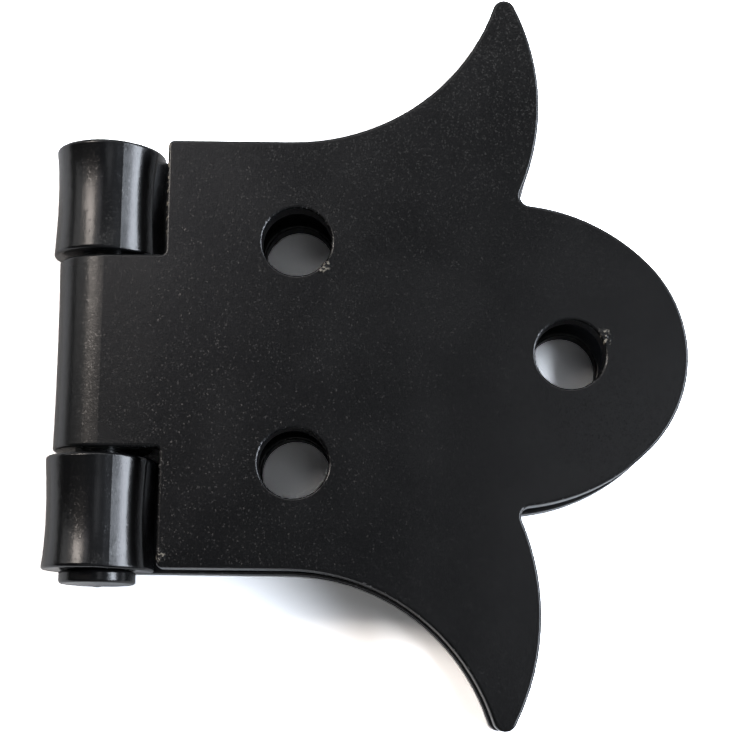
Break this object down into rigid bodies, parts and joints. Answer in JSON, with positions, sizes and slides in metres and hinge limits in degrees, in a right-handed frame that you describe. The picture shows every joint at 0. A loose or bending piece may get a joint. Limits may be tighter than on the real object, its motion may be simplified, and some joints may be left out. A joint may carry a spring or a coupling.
{
  "type": "butterfly strap hinge",
  "caption": "Butterfly strap hinge with fishtail plates, interleaved rolled knuckles and a headed pin, folded shut, in black powder coat.",
  "frame": {"origin": "below the pin's axis, midway along the barrel, on the plane of the rear leaf's mounting face, which is the line that is set over the gap between door and frame", "axes": "+X from the barrel to the far end of both leaves, +Y along the pin away from its head, +Z from the rear leaf's mounting face to the front leaf's"},
  "size_m": [0.0643, 0.074, 0.0111],
  "materials": {
    "leaf_coat": "black powder coat, satin, with a fine texture and sparkle",
    "pin_coat": "black powder coat, satin"
  },
  "bodies": {
    "fixed_side": {"rear_leaf": "leaf_coat", "hinge_pin": "pin_coat"},
    "swinging_side": {"front_leaf": "leaf_coat"}
  },
  "joints": [
    {"name": "leaf_swing", "type": "hinge", "parent": "fixed_side", "child": "swinging_side", "pos_m": [0, 0, 0.0054], "axis": [0, -1, 0], "range_deg": [-5, 275]}
  ]
}
